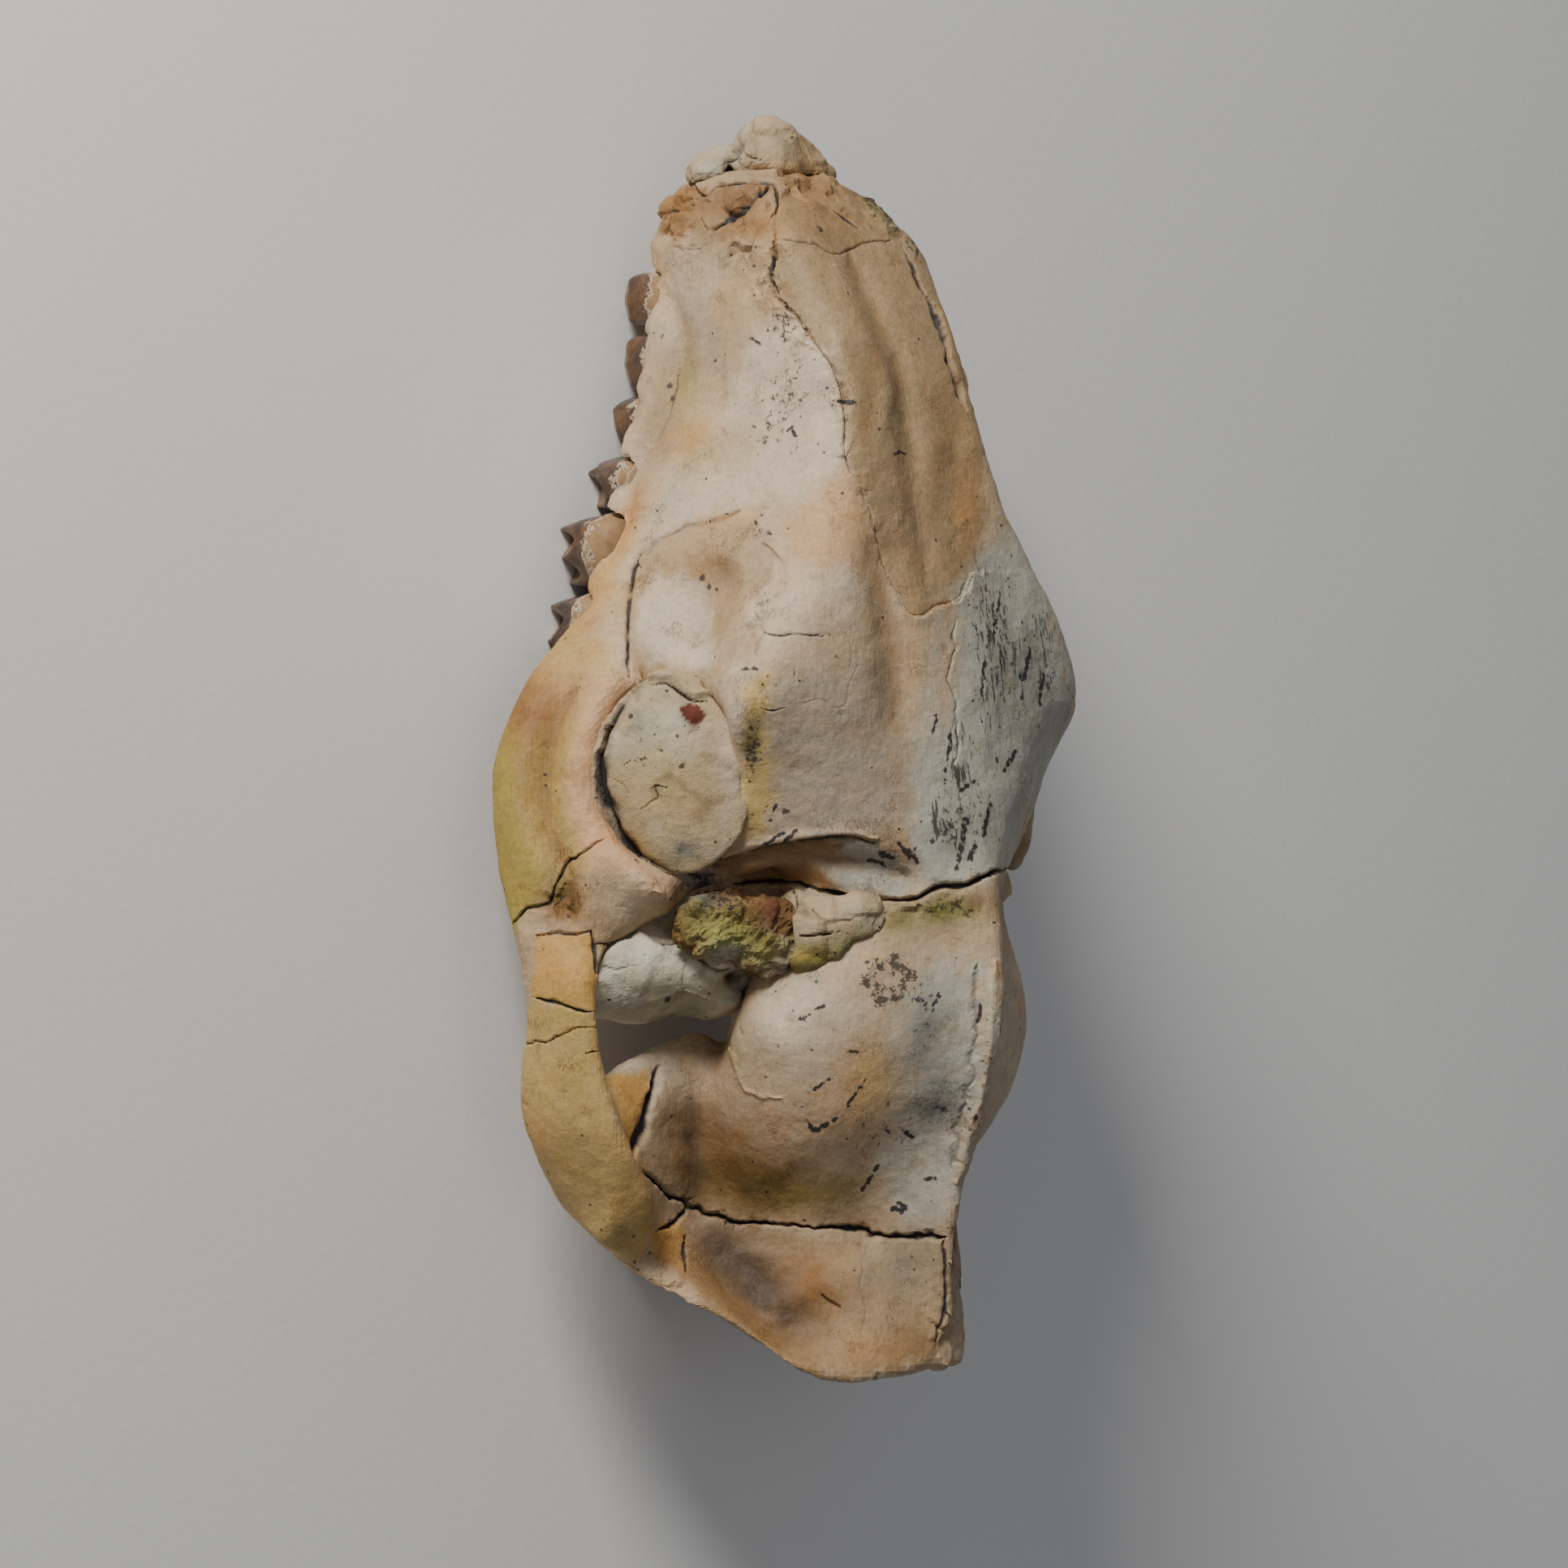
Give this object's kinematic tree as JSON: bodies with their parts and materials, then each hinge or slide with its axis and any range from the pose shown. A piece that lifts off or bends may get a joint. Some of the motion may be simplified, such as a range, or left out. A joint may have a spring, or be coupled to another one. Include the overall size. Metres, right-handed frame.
{
  "type": "fossil oreodont skull",
  "caption": "Fossil oreodont skull without its lower jaw: long snout, sediment-filled eye sockets, whole left cheek arch, broken right one, high crest and worn cheek teeth.",
  "frame": {"origin": "on the resting plane, under the middle of the skull's box", "axes": "-Y towards the snout, +X towards the animal's left side, +Z towards the crown of the head"},
  "size_m": [0.1161, 0.2115, 0.0724],
  "materials": {
    "bone": "matt to faintly polished fossil bone",
    "enamel": "glossy dark brown enamel",
    "orbit_sediment": "matt fine sediment",
    "temple_sediment": "matt grey-green siltstone",
    "crust": "crumbly ochre crust",
    "bone_chip": "pale broken bone",
    "snout_sediment": "matt grey-beige sediment"
  },
  "bodies": {
    "root": {"cranium": "bone", "orbit_matrix_left": "orbit_sediment", "orbit_matrix_right": "orbit_sediment", "temple_matrix": "temple_sediment", "temple_crust": "crust", "temple_bone_chip": "bone_chip", "snout_matrix": "snout_sediment", "tooth_P1_left": "enamel", "tooth_P1_right": "enamel", "tooth_P2_left": "enamel", "tooth_P2_right": "enamel", "tooth_P3_left": "enamel", "tooth_P3_right": "enamel", "tooth_P4_left": "enamel", "tooth_P4_right": "enamel", "tooth_M1_left": "enamel", "tooth_M1_right": "enamel", "tooth_M2_left": "enamel", "tooth_M2_right": "enamel", "tooth_M3_left": "enamel", "tooth_M3_right": "enamel"}
  },
  "joints": []
}
